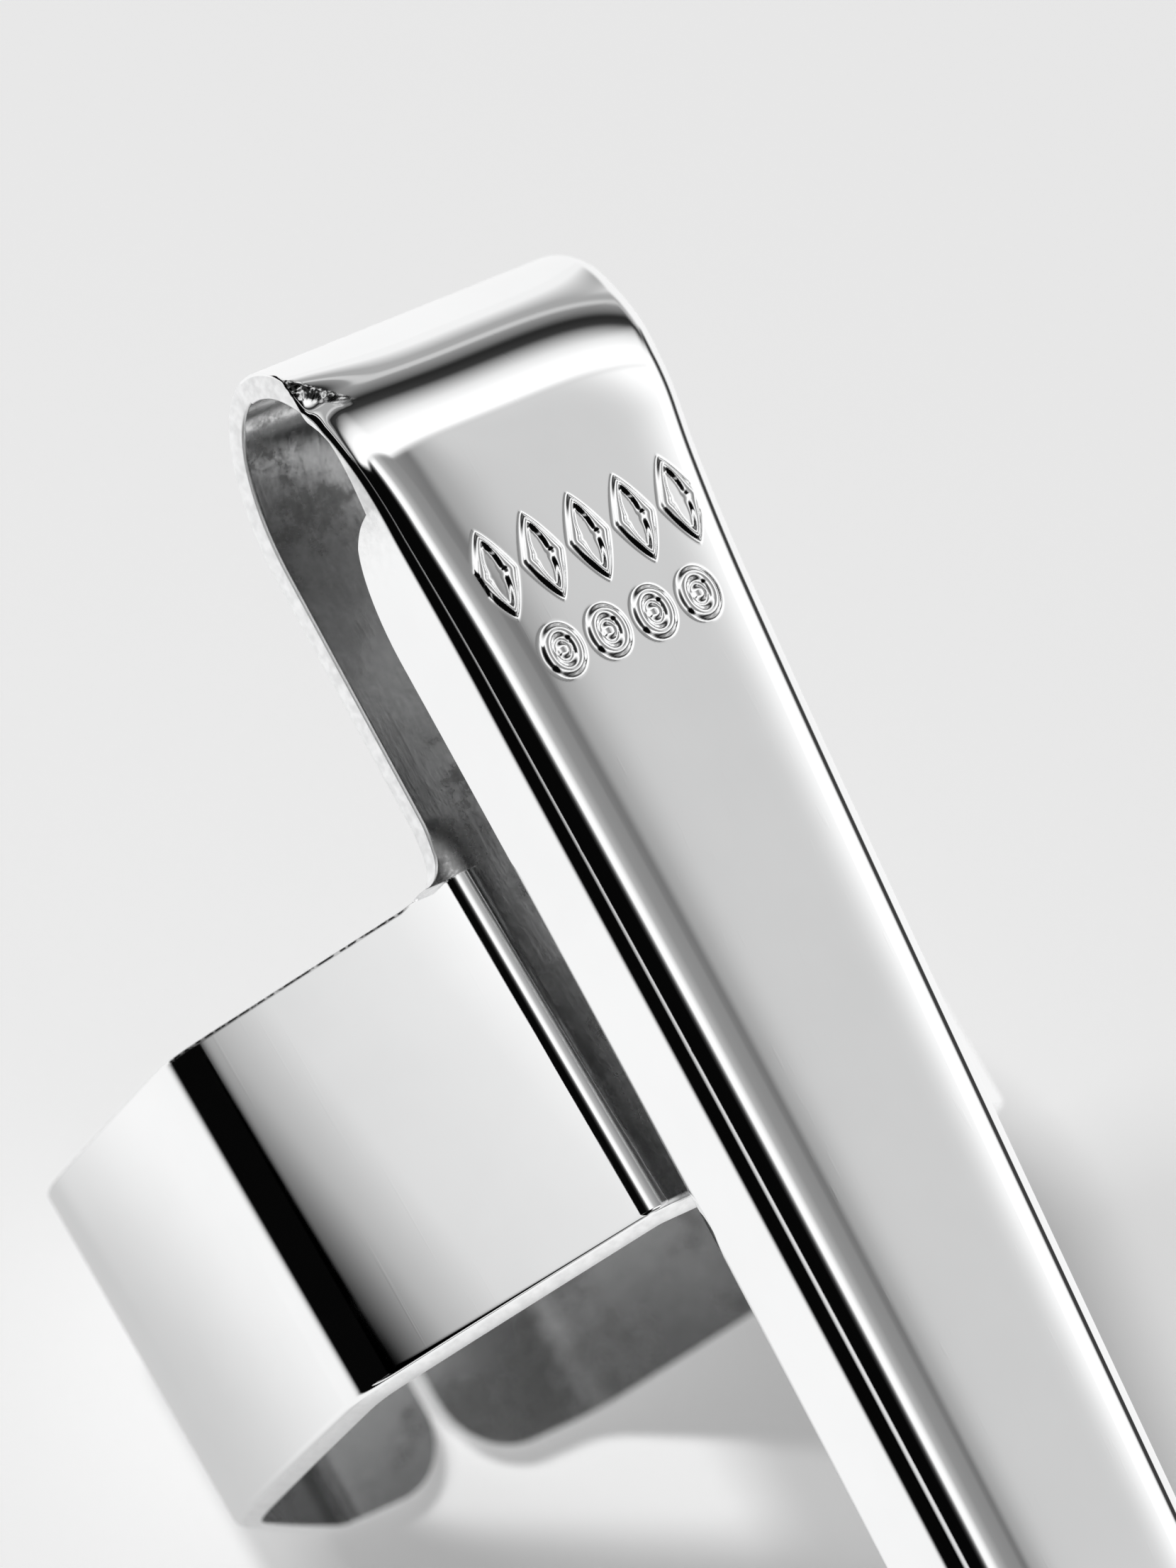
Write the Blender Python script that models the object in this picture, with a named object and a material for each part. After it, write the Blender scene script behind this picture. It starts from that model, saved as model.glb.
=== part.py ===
"""Slide-on pocket clip for an eight-sided pen barrel, folded from one strip of spring steel.

Metres, +Z up. The clip lies on the two free ends of its band, with the arm on top. +X is its
width, +Y runs along the barrel towards the spring loop, and the origin is the middle of the
underside of the whole clip's box.

The strip runs: arm tip, arm, spring loop, neck, front facet of the band, and then a wing to each
side whose facets close the band behind the barrel. Each stretch between two bends is one object.
Stretches that flex against each other have their joint's pivot as their origin.
"""
import math

import bmesh
import bpy
from mathutils import Vector

MM = 0.001

# Driving dimensions, in millimetres and degrees.
SHEET = 0.4                 # thickness of the strip
BAND_FLATS = 14.0           # across the band's flats, outside
BAND_LENGTH = 6.6           # along the barrel
BAND_BEND_RADIUS = 1.0      # outside of each fold of the band
FREE_END_GAP = 0.3          # between the two free ends behind the barrel
FREE_END_CORNER = 1.3       # rounded corners of the free ends
CLIP_LENGTH = 26.2          # from the loop's top to the arm's tip
BAND_LOW_Y = -2.0           # lower edge of the band, past the middle of the clip's length
STRIP_WIDTH = 6.2           # of the neck, the loop and the arm's root
LOOP_HEIGHT = 4.1           # outside of the spring loop, which is half an ellipse
LOOP_REACH = 3.15           # from the middle of that ellipse to the loop's top
NECK_TILT = 3.2             # the neck leans this much towards the arm
ARM_TILT = 6.1              # the arm slopes this much down to the barrel where it leaves the loop
ARM_BOW_RADIUS = 800.0      # and curves gently further down
ARM_NARROWING = 0.72        # lost from each side between the loop and the round tip
ARM_ROOT = -0.7             # the arm's channel starts this far back on the loop's curve
EDGE_ROLL_AT_ROOT = 0.45    # outside radius of the arm's long edges, next to the loop
EDGE_ROLL = 0.8             # the same, further down the arm
EDGE_ROLL_RUN = 2.0         # length over which the edge radius grows
FLANGE_DEPTH_AT_ROOT = 2.0  # from the arm's face to the flange's free edge
FLANGE_DEPTH = 2.1
FLANGE_RUN = 12.0           # length over which the flange deepens
FLANGE_SETBACK = 0.2        # from the arm's root to where the flanges start
FLANGE_SHOULDER = 1.3       # rounded start of each flange
SHOULDER_CUT = 0.15         # taken off the shoulder's thin beginning
STRETCH_GAP = 0.3           # between neighbouring stretches of the strip
FLEX_GAP = STRETCH_GAP      # the same, where two stretches flex against each other

BEND_STEPS = 3              # straight chords in half a fold of the band
ARC_STEPS = 6               # chords in a quarter round
LOOP_STEPS = 20
FIRST_LOOP_TURN = 5.0       # degrees from the end of the neck to the loop's first chord
ARM_STEPS = 24

FACET_ANGLE = 45.0
HALF_FLATS = BAND_FLATS / 2
HALF_FACET = HALF_FLATS * math.tan(math.radians(FACET_ANGLE / 2))
HALF_STRIP = STRIP_WIDTH / 2
TIP_RADIUS = HALF_STRIP - ARM_NARROWING

# The loop and the tip reach the ends of the clip's box, and the band sits between them.
LOOP_Y = CLIP_LENGTH / 2 - LOOP_REACH
TIP_Y = -CLIP_LENGTH / 2
BAND_HIGH_Y = BAND_LOW_Y + BAND_LENGTH

STEEL = (0.80, 0.81, 0.82)
STEEL_ROUGHNESS = 0.08


def clear_scene():
    for item in list(bpy.data.objects):
        bpy.data.objects.remove(item)


def plating(name):
    material = bpy.data.materials.new(name)
    material.use_nodes = True
    shader = material.node_tree.nodes["Principled BSDF"]
    shader.inputs["Base Color"].default_value = (*STEEL, 1.0)
    shader.inputs["Roughness"].default_value = STEEL_ROUGHNESS
    shader.inputs["Metallic"].default_value = 1.0
    return material


def add_solid(name, mesh, pivot):
    """Turn a closed bmesh in millimetres into a named object whose origin is the pivot."""
    bmesh.ops.remove_doubles(mesh, verts=mesh.verts, dist=1e-6)
    bmesh.ops.recalc_face_normals(mesh, faces=mesh.faces)
    for vertex in mesh.verts:
        vertex.co = (vertex.co - pivot) * MM
    data = bpy.data.meshes.new(name)
    mesh.to_mesh(data)
    mesh.free()
    data.materials.append(plating(name))
    data.shade_smooth()
    data.set_sharp_from_angle(angle=math.radians(30))
    solid = bpy.data.objects.new(name, data)
    solid.location = pivot * MM
    bpy.context.scene.collection.objects.link(solid)
    return solid


def loft(rings):
    """Skin a row of rings, each a closed loop of as many points, and close both ends."""
    mesh = bmesh.new()
    loops = [[mesh.verts.new(point) for point in ring] for ring in rings]
    count = len(loops[0])
    for near, far in zip(loops, loops[1:]):
        for i in range(count):
            j = (i + 1) % count
            mesh.faces.new((near[i], near[j], far[j], far[i]))
    mesh.faces.new(loops[0])
    mesh.faces.new(reversed(loops[-1]))
    return mesh


def spread(start, end, steps):
    """Evenly spaced values from start to end, both included."""
    return [start + (end - start) * i / steps for i in range(steps + 1)]


def ease(amount):
    """A smooth step from 0 to 1."""
    amount = min(max(amount, 0.0), 1.0)
    return amount * amount * (3 - 2 * amount)


# The band ---------------------------------------------------------------------------------------

def facet_axes(index):
    """Outward normal and running direction of a left-hand facet; facet 0 is the front one."""
    angle = math.radians(FACET_ANGLE * index)
    normal = Vector((-math.sin(angle), 0, math.cos(angle)))
    along = Vector((-math.cos(angle), 0, -math.sin(angle)))
    return normal, along


def bend_station(index, offset, turn):
    """Outside and inside point of the band where it has turned by some degrees past a facet."""
    normal, along = facet_axes(index)
    axis_height = HALF_FLATS - BAND_BEND_RADIUS
    axis = Vector((0, 0, HALF_FLATS)) + normal * axis_height + along * offset
    angle = math.radians(turn)
    direction = normal * math.cos(angle) + along * math.sin(angle)
    return axis + direction * BAND_BEND_RADIUS, axis + direction * (BAND_BEND_RADIUS - SHEET)


def facet_stations(index, free_end):
    """The facet's profile from one fold to the next, or to the free end, with its end insets."""
    reach = HALF_FACET - BAND_BEND_RADIUS * math.tan(math.radians(FACET_ANGLE / 2))
    middle_radius = BAND_BEND_RADIUS - SHEET / 2
    turn = FACET_ANGLE / 2 - math.degrees(STRETCH_GAP / 2 / middle_radius)
    stations = [(*bend_station(index, -reach, -step), 0.0) for step in spread(turn, 0, BEND_STEPS)]
    if not free_end:
        stations += [(*bend_station(index, reach, step), 0.0) for step in spread(0, turn, BEND_STEPS)]
        return stations
    edge = -FREE_END_GAP / 2
    for angle in spread(0, math.pi / 2, ARC_STEPS):
        offset = edge - FREE_END_CORNER * (1 - math.sin(angle))
        inset = FREE_END_CORNER * (1 - math.cos(angle))
        stations.append((*bend_station(index, offset, 0), inset))
    return stations


def facet(name, index, side, pivot, free_end=False):
    """One facet of the band; side is -1 on the left and +1 on the right."""
    rings = []
    for outside, inside, inset in facet_stations(index, free_end):
        low = BAND_LOW_Y + inset
        high = BAND_HIGH_Y - inset
        ring = [(outside.x, low, outside.z), (outside.x, high, outside.z),
                (inside.x, high, inside.z), (inside.x, low, inside.z)]
        rings.append([Vector((-side * x, y, z)) for x, y, z in ring])
    return add_solid(name, loft(rings), pivot)


def wing_pivot(side):
    """The middle of the sheet at the fold between the front facet and a wing."""
    half_turn = FACET_ANGLE / 2
    reach = HALF_FACET - BAND_BEND_RADIUS * math.tan(math.radians(half_turn))
    outside, inside = bend_station(0, reach, half_turn)
    middle = (outside + inside) / 2
    return Vector((-side * middle.x, (BAND_LOW_Y + BAND_HIGH_Y) / 2, middle.z))


# The neck and the spring loop -------------------------------------------------------------------

def plate_ring(outside, inside, half_width):
    """A flat rectangular ring across the strip between two points in the YZ plane."""
    return [Vector((-half_width, *outside)), Vector((half_width, *outside)),
            Vector((half_width, *inside)), Vector((-half_width, *inside))]


def neck_line(distance):
    """Back and front point of the neck at a distance above the band's top edge."""
    tilt = math.radians(NECK_TILT)
    run = Vector((math.cos(tilt), math.sin(tilt))) * distance
    back = Vector((BAND_HIGH_Y, BAND_FLATS - SHEET)) + run
    front = back + Vector((-math.sin(tilt), math.cos(tilt))) * SHEET
    return back, front


def loop_normal(turn):
    """Outward direction in the YZ plane, turned by some degrees from +Y towards +Z."""
    return Vector((math.cos(math.radians(turn)), math.sin(math.radians(turn))))


def loop_offset(turn):
    """From the middle of the loop's ellipse to where its outside faces the given direction."""
    normal = loop_normal(turn)
    half = LOOP_HEIGHT / 2
    reach = math.hypot(LOOP_REACH * normal.x, half * normal.y)
    return Vector((LOOP_REACH ** 2 * normal.x, half ** 2 * normal.y)) / reach


def loop_axis():
    """Middle of the spring loop in the YZ plane; the neck's back runs into the loop's outside."""
    tilt = math.radians(NECK_TILT)
    base = Vector((BAND_HIGH_Y, BAND_FLATS - SHEET))
    meet = loop_offset(NECK_TILT - 90)
    run = LOOP_Y + meet.x - base.x
    return Vector((LOOP_Y, base.y + run * math.tan(tilt) - meet.y))


def neck_length():
    """From the band's top edge to where the loop starts."""
    start = loop_axis() + loop_offset(NECK_TILT - 90)
    return (start - Vector((BAND_HIGH_Y, BAND_FLATS - SHEET))).length


def neck(pivot):
    rings = [plate_ring(*neck_line(distance), HALF_STRIP)
             for distance in (STRETCH_GAP, neck_length() - FLEX_GAP / 2)]
    return add_solid("neck", loft(rings), pivot)


def spring_loop(pivot):
    axis = loop_axis()
    rings = [plate_ring(*neck_line(neck_length() + FLEX_GAP / 2), HALF_STRIP)]
    for turn in spread(NECK_TILT - 90 + FIRST_LOOP_TURN, crown_turn(ARM_ROOT - FLEX_GAP / 2), LOOP_STEPS):
        outside = axis + loop_offset(turn)
        inside = outside - loop_normal(turn) * SHEET
        rings.append(plate_ring(outside, inside, HALF_STRIP))
    return add_solid("spring_loop", loft(rings), pivot)


# The arm ----------------------------------------------------------------------------------------

def crown_turn(distance):
    """Direction of the loop's outside at a distance past its end; the distance is negative."""
    crown_radius = LOOP_REACH ** 2 / (LOOP_HEIGHT / 2)
    return 90 + ARM_TILT + math.degrees(distance / crown_radius)


def arm_frame(distance):
    """Point on the arm's face, its outward normal and the direction to the tip."""
    if distance < 0:
        normal = loop_normal(crown_turn(distance))
        point = loop_axis() + loop_offset(crown_turn(distance))
        return Vector((0, *point)), Vector((0, *normal)), Vector((0, -normal.y, normal.x))
    tilt = math.radians(ARM_TILT)
    angle = tilt + distance / ARM_BOW_RADIUS
    run = ARM_BOW_RADIUS * (math.sin(angle) - math.sin(tilt))
    drop = ARM_BOW_RADIUS * (math.cos(tilt) - math.cos(angle))
    point = loop_axis() + loop_offset(90 + ARM_TILT) - Vector((run, drop))
    normal = Vector((0, -math.sin(angle), math.cos(angle)))
    toward_tip = Vector((0, -math.cos(angle), -math.sin(angle)))
    return Vector((0, *point)), normal, toward_tip


def tip_start():
    """Along the face from the loop to the round tip, whose rolled edge reaches TIP_Y."""
    tilt = math.radians(ARM_TILT)
    bow = ARM_BOW_RADIUS - EDGE_ROLL
    flat = TIP_RADIUS - EDGE_ROLL
    arm_start = LOOP_Y + loop_offset(90 + ARM_TILT).x
    reach = arm_start - TIP_Y - EDGE_ROLL + ARM_BOW_RADIUS * math.sin(tilt)
    end_tilt = math.asin(reach / math.hypot(bow, flat)) - math.atan2(flat, bow)
    return ARM_BOW_RADIUS * (end_tilt - tilt)


def half_width(distance):
    return HALF_STRIP - ARM_NARROWING * distance / tip_start()


def edge_roll(distance):
    amount = ease((distance - ARM_ROOT) / EDGE_ROLL_RUN)
    return EDGE_ROLL_AT_ROOT + (EDGE_ROLL - EDGE_ROLL_AT_ROOT) * amount


def flange_depth(distance):
    growth = ease((distance - ARM_ROOT) / FLANGE_RUN)
    full = FLANGE_DEPTH_AT_ROOT + (FLANGE_DEPTH - FLANGE_DEPTH_AT_ROOT) * growth
    back = (flange_start() + FLANGE_SHOULDER - distance) / FLANGE_SHOULDER
    lift = FLANGE_SHOULDER * (1 - math.sqrt(1 - min(max(back, 0.0), 1.0) ** 2))
    return full - lift


def flange_start():
    """Where the flanges leave the arm's rolled edge."""
    return ARM_ROOT + FLANGE_SETBACK


def face_section(distance):
    """Ring across the arm's face and its two rolled edges."""
    width = half_width(distance)
    roll = edge_roll(distance)
    outside = []
    inside = []
    for angle in spread(0, math.pi / 2, ARC_STEPS):
        outside.append((width - roll + roll * math.cos(angle), roll * math.sin(angle) - roll))
        inner = roll - SHEET
        inside.append((width - roll + inner * math.cos(angle), inner * math.sin(angle) - roll))
    mirrored = [(-x, z) for x, z in reversed(outside)]
    inner_back = [(-x, z) for x, z in inside] + list(reversed(inside))
    return outside + mirrored + inner_back


def flange_section(distance, side):
    """Ring across one flange, below the arm's rolled edge."""
    width = half_width(distance)
    top = -(edge_roll(distance) + STRETCH_GAP)
    low = -flange_depth(distance)
    return [(side * width, top), (side * width, low),
            (side * (width - SHEET), low), (side * (width - SHEET), top)]


def arm_ring(distance, section):
    """Stand a section, given as (across, above the face), on the arm's path."""
    point, normal, _ = arm_frame(distance)
    return [point + Vector((x, 0, 0)) + normal * z for x, z in section]


def arm_face(pivot):
    run = spread(ARM_ROOT + FLEX_GAP / 2, tip_start() - STRETCH_GAP, ARM_STEPS)
    rings = [arm_ring(distance, face_section(distance)) for distance in run]
    return add_solid("arm_face", loft(rings), pivot)


def flange(name, side, pivot):
    start = flange_start() + SHOULDER_CUT
    shoulder_end = flange_start() + FLANGE_SHOULDER
    run = spread(start, shoulder_end, ARC_STEPS)[:-1]
    run += spread(shoulder_end, tip_start() - STRETCH_GAP, ARM_STEPS)
    rings = [arm_ring(distance, flange_section(distance, side)) for distance in run]
    return add_solid(name, loft(rings), pivot)


def tip_profile():
    """Half of the tip's section, from its middle out over the rolled edge and down the rim."""
    width = TIP_RADIUS
    roll = EDGE_ROLL
    outside = [(0.0, 0.0)]
    inside = [(0.0, -SHEET)]
    for angle in spread(math.pi / 2, 0, ARC_STEPS):
        outside.append((width - roll + roll * math.cos(angle), roll * math.sin(angle) - roll))
        inner = roll - SHEET
        inside.append((width - roll + inner * math.cos(angle), inner * math.sin(angle) - roll))
    outside.append((width, -FLANGE_DEPTH))
    inside.append((width - SHEET, -FLANGE_DEPTH))
    return outside, inside


def arm_tip(pivot):
    """The arm's round end: its channel section turned through half a circle."""
    start = tip_start()
    point, normal, toward_tip = arm_frame(start)
    outside, inside = tip_profile()
    profile = outside + list(reversed(inside))
    mesh = bmesh.new()
    rows = []
    for angle in spread(0, math.pi, 4 * ARC_STEPS):
        across = Vector((math.cos(angle), 0, 0)) + toward_tip * math.sin(angle)
        rows.append([mesh.verts.new(point + across * reach + normal * z) for reach, z in profile])
    count = len(profile)
    for near, far in zip(rows, rows[1:]):
        for i in range(count - 1):
            mesh.faces.new((near[i], near[i + 1], far[i + 1], far[i]))
    mesh.faces.new(rows[0])
    mesh.faces.new(reversed(rows[-1]))
    bmesh.ops.remove_doubles(mesh, verts=mesh.verts, dist=1e-5)
    bmesh.ops.dissolve_degenerate(mesh, edges=mesh.edges, dist=1e-5)
    return add_solid("arm_tip", mesh, pivot)


def main():
    clear_scene()
    neck_back, neck_front = neck_line(neck_length())
    loop_pivot = Vector((0, *((neck_back + neck_front) / 2)))
    arm_top, arm_normal, _ = arm_frame(ARM_ROOT)
    arm_pivot = arm_top - arm_normal * SHEET / 2
    band_middle = Vector((0, (BAND_LOW_Y + BAND_HIGH_Y) / 2, HALF_FLATS))

    facet("front_facet", 0, -1, band_middle)
    neck(band_middle)
    spring_loop(loop_pivot)
    arm_face(arm_pivot)
    flange("left_flange", -1, arm_pivot)
    flange("right_flange", 1, arm_pivot)
    arm_tip(arm_pivot)
    for side, hand in ((-1, "left"), (1, "right")):
        pivot = wing_pivot(side)
        facet(hand + "_shoulder_facet", 1, side, pivot)
        facet(hand + "_side_facet", 2, side, pivot)
        facet(hand + "_lower_facet", 3, side, pivot)
        facet(hand + "_free_end", 4, side, pivot, free_end=True)


main()
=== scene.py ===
"""Looks of the slide-on pocket clip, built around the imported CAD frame.

One polished strip runs from the arm's round tip over the spring loop and down the neck into an
eight-sided band. It is built here as five seamless stretches of bright plated sheet: the arm, the
neck, the front facet and the two wings. Lengths are in millimetres until a mesh is made.
"""
import math

import bmesh
import bpy
import numpy as np
from mathutils import Matrix, Vector


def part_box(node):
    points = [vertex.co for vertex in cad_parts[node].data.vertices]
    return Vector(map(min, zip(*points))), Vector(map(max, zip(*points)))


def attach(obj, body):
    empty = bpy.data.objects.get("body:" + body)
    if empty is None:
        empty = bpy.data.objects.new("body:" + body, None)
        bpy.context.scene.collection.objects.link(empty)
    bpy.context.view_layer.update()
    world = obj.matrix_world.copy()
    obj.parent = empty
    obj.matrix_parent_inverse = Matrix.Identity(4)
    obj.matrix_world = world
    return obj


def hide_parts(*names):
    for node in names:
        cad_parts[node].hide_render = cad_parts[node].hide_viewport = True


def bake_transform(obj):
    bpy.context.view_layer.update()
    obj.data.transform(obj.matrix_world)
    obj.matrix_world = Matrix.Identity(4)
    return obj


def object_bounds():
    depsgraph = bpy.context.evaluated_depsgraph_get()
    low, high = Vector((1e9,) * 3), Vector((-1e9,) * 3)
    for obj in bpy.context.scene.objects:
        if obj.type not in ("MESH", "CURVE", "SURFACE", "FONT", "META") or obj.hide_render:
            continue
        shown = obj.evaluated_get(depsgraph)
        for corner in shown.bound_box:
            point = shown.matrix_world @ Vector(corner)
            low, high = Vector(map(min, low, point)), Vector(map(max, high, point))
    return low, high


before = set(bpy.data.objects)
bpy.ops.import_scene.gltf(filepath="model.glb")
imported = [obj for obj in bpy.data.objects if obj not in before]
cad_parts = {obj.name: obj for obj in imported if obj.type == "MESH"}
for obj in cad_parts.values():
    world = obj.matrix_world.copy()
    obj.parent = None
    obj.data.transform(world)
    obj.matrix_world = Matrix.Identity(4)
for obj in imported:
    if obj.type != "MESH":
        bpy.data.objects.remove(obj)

cad_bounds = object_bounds()
MM = 0.001


def corners(node):
    """The low and high corners of a CAD node's box."""
    low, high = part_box(node)
    return np.array(low) / MM, np.array(high) / MM


# Sizes ------------------------------------------------------------------------------------------
# Places come from the CAD frame; the rest are the strip's own details.

SHEET = 0.4
FACET_ANGLE = 45.0
HALF_FLATS = corners("right_side_facet")[1][0]
BAND_LOW_Y = corners("front_facet")[0][1]
BAND_HIGH_Y = corners("front_facet")[1][1]
BAND_FRONT_Z = corners("front_facet")[1][2]
BAND_MID_Z = BAND_FRONT_Z - HALF_FLATS
FREE_END_GAP = 2 * corners("right_free_end")[0][0]
FREE_END_CORNER = 1.3
HALF_STRIP = corners("spring_loop")[1][0]
LOOP_TOP_Y = corners("spring_loop")[1][1]
ARM_TOP_Z = corners("arm_face")[1][2]
TIP_Y = corners("arm_tip")[0][1]

LOOP_HEIGHT = 4.1
LOOP_REACH = 3.15            # from the middle of the loop's ellipse to its outermost point
LOOP_MID = np.array([LOOP_TOP_Y - LOOP_REACH, ARM_TOP_Z - LOOP_HEIGHT / 2])
NECK_TILT = 3.2              # degrees the neck rises towards the loop
NECK_KINK = 0.3              # half length of the small bend between the band and the neck
ARM_TILT = 6.1               # degrees the arm falls towards its tip
ARM_BOW_RADIUS = 800.0

FOLD_LENGTHS = (0.65, 1.4, 2.2, 1.5)   # arc of each fold, from the front facet to the free end
FACET_CROWN = 1.2            # degrees a facet turns from its middle to where its fold starts
FILLET = 0.5                 # inside corner between the neck and the band's edge
NECK_FLATTENING = 0.95       # length over which the band's folds fade out into the neck
NECK_MARGIN = 0.1            # length before they start to

# Distances along the arm count from the end of the loop, so on the loop they are negative.
ROLL_FROM = -3.4             # the arm's edges start to roll here
ROLL_RUN = (0.8, 2.4)        # length over which the left and the right roll develop
ROLL_RADIUS = (0.34, 0.82)   # of the roll where it starts, and by the tip
SOFT_RADIUS = (0.7, 1.05)    # gentler bend between the face and the roll
SOFT_ANGLE = 34.0            # how far that bend turns, in degrees
GROWTH_FROM = -2.0           # both radii start to grow here
GROWTH_LENGTH = 3.2          # and are about half grown this much further on
GROWTH_EASING = 0.8
LEAN = 6.0                   # degrees the flange leans outward
LEAN_ROOM = 0.13             # how far the roll sits back from the flange's lower edge
FACE_CROWN = 4.0             # degrees the arm's face turns from its middle to its rolled edge
LOOP_CROWN = 6.0             # how much more it turns where the roll starts, on the loop
CORNER_SWELL = 0.38          # bulge of the loop's right corner
SIDE_DEPTH = 0.46            # height of the strip's side on the loop,
HEEL_DEPTH = 0.87            # just before the flange,
FLANGE_DEPTH = 2.05          # and along the flange
FLANGE_FROM = -0.44
FLANGE_SHOULDER = 2.4        # length over which the flange reaches its full depth
ARM_TAPER = 0.0454           # each side narrows this much for each millimetre of length
TAPER_EASING = 0.0005        # and a little less for each further one
TAPER_BLEND = 0.5            # half length over which the taper sets in

# Changes along the strip, each as (where it starts, the length it takes).
SIDE_RISE = (-5.5, 1.5)
HEEL_RISE = (-2.5, 2.5)
SWELL_RISE = (-4.4, 1.3)
SWELL_FALL = (-2.6, 3.4)
CRUMPLE_RISE = (ROLL_FROM, 0.12)
CRUMPLE_FALL = (-2.65, 0.45)
CROWN_RISE = (ROLL_FROM - 0.3, 1.2)
LOOP_CROWN_FALL = (-2.2, 2.2)
LEAN_RISE = (-2.0, 5.0)
SHEARED_SIDE_FALL = (-0.9, 2.0)

CRUMPLE_SLOPE = 0.62         # the crumple's border runs in this fast from the strip's side
CRUMPLE_DEPTH = 0.035
CRUMPLE_BORDER = 0.12        # width over which it deepens
RIDGES = (-0.03, 0.26)       # small ridges run along its border between these distances past it
RIDGE_FADES = (0.05, 0.1)    # widths over which they rise and fade
RIDGE_HEIGHT = 0.014
RIDGE_WAVES = (31.0, 27.0)   # radians per millimetre, across and along

EDGE_RADIUS = 0.05           # softened corners of the cut edges
ROLLOVER = 0.12              # larger softened corner along the band's lower edge
CUT_SLANT = 0.14             # how far that edge leans out from the outside to the inside

FINE = 0.03                  # grid step over the raised pattern
COARSE = 0.3                 # and where nothing changes fast
MARGIN = 0.03                # flat rim kept between a face's grid and a softened corner
FACE_COLUMNS = int(HALF_STRIP / FINE)

DENT_PAINTED_SHADE = 2.0                 # painted shade in the crumpled dents, nearly black
EDGE_PAINTED_DARK = 1.9                  # painted dark reflection along the upper edge of the shoulder facets
SHADED_FRONT = (2.3, 0.3)      # half width of the front facet's painted shade under the arm, and of its faded border


def ease(amount):
    """A smooth step from 0 to 1."""
    amount = np.clip(amount, 0.0, 1.0)
    return amount * amount * (3 - 2 * amount)


def rise(place, change):
    """A smooth step from 0 to 1 along the strip; change is where it starts and its length."""
    start, length = change
    return float(ease((place - start) / length))


def span(start, end, step):
    """Evenly spaced values from start to end, both included, no further apart than step."""
    return np.linspace(start, end, max(int(math.ceil(abs(end - start) / step)), 1) + 1)


# Mesh making ------------------------------------------------------------------------------------

def make_piece(name, rows, shade_and_smudge, cut, material, closed_ring, caps):
    """Skin rows of points into one closed mesh, with two amounts for each point: how much smudging and
    painted shade it takes, and how sheared it is.
    """
    count, columns = rows.shape[:2]
    index = np.arange(count * columns).reshape(count, columns)
    faces = []
    for j in range(columns if closed_ring else columns - 1):
        k = (j + 1) % columns
        quads = np.stack([index[:-1, j], index[:-1, k], index[1:, k], index[1:, j]], axis=1)
        faces += quads.tolist()
    for cap in caps:
        faces.append([int(v) for v in cap(index)])
    data = bpy.data.meshes.new(name)
    data.from_pydata((rows.reshape(-1, 3) * MM).tolist(), [], faces)
    for look, amount in (("shade_and_smudge", shade_and_smudge), ("cut", cut)):
        values = np.broadcast_to(amount, (count, columns)).astype(float).ravel()
        data.attributes.new(look, "FLOAT", "POINT").data.foreach_set("value", values)
    mesh = bmesh.new()
    mesh.from_mesh(data)
    bmesh.ops.remove_doubles(mesh, verts=mesh.verts, dist=1e-7)
    bmesh.ops.dissolve_degenerate(mesh, edges=mesh.edges, dist=1e-8)
    bmesh.ops.recalc_face_normals(mesh, faces=mesh.faces)
    mesh.to_mesh(data)
    mesh.free()
    data.materials.append(material)
    data.shade_smooth()
    data.set_sharp_from_angle(angle=math.radians(40))
    piece = bpy.data.objects.new(name, data)
    bpy.context.scene.collection.objects.link(piece)
    return piece


def end_caps():
    """The faces that close the first and the last ring of a skin."""
    return [lambda index: index[0], lambda index: index[-1][::-1]]


def point(x, y, z):
    """A place given in millimetres, in metres."""
    return (x * MM, y * MM, z * MM)


# The band ---------------------------------------------------------------------------------------

FACET_STEPS = 12             # rows from the middle of a facet to its fold
FOLD_STEPS = 16              # rows over half a fold
ARC_STEPS = 6                # points round a softened corner, less one
INTO_CORNER = 2              # looks change this many points into one
OUTER_COLUMNS = 12           # columns along the barrel, outside and inside
CORNER_STATIONS = 14         # rows over the free end's round corner
CORNER_LIMIT = 0.9999        # share of that corner that is built, so that its end is not a point
NECK_FOOT_POINTS = 40        # points of the band's path that the neck's foot follows
SHOULDER_NORMALS = (0.3, 0.95)         # upright part of the outward normal on the shoulder facets


def half_fold(length):
    """Headings and steps from the middle of a facet to the middle of the fold beside it."""
    turn = FACET_ANGLE - 2 * FACET_CROWN
    fold = np.linspace(0, 0.5, FOLD_STEPS + 1)
    fold_heading = FACET_CROWN + turn * ease(fold)
    fold_steps = np.diff(fold) * length
    fold_heading = (fold_heading[1:] + fold_heading[:-1]) / 2
    facet = np.linspace(0, 1, FACET_STEPS + 1)
    facet_heading = FACET_CROWN * (facet[1:] + facet[:-1]) / 2

    def corner_error(run):
        steps = np.concatenate([np.diff(facet) * run, fold_steps])
        heading = np.radians(np.concatenate([facet_heading, fold_heading]))
        across = (steps * np.cos(heading)).sum()
        down = (steps * np.sin(heading)).sum()
        return across - (HALF_FLATS - down) * math.tan(math.radians(FACET_ANGLE / 2))

    low, high = 0.0, HALF_FLATS
    for _ in range(60):
        middle = (low + high) / 2
        if corner_error(middle) > 0:
            high = middle
        else:
            low = middle
    steps = np.concatenate([np.diff(facet) * low, fold_steps])
    return np.concatenate([facet_heading, fold_heading]), steps


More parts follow.
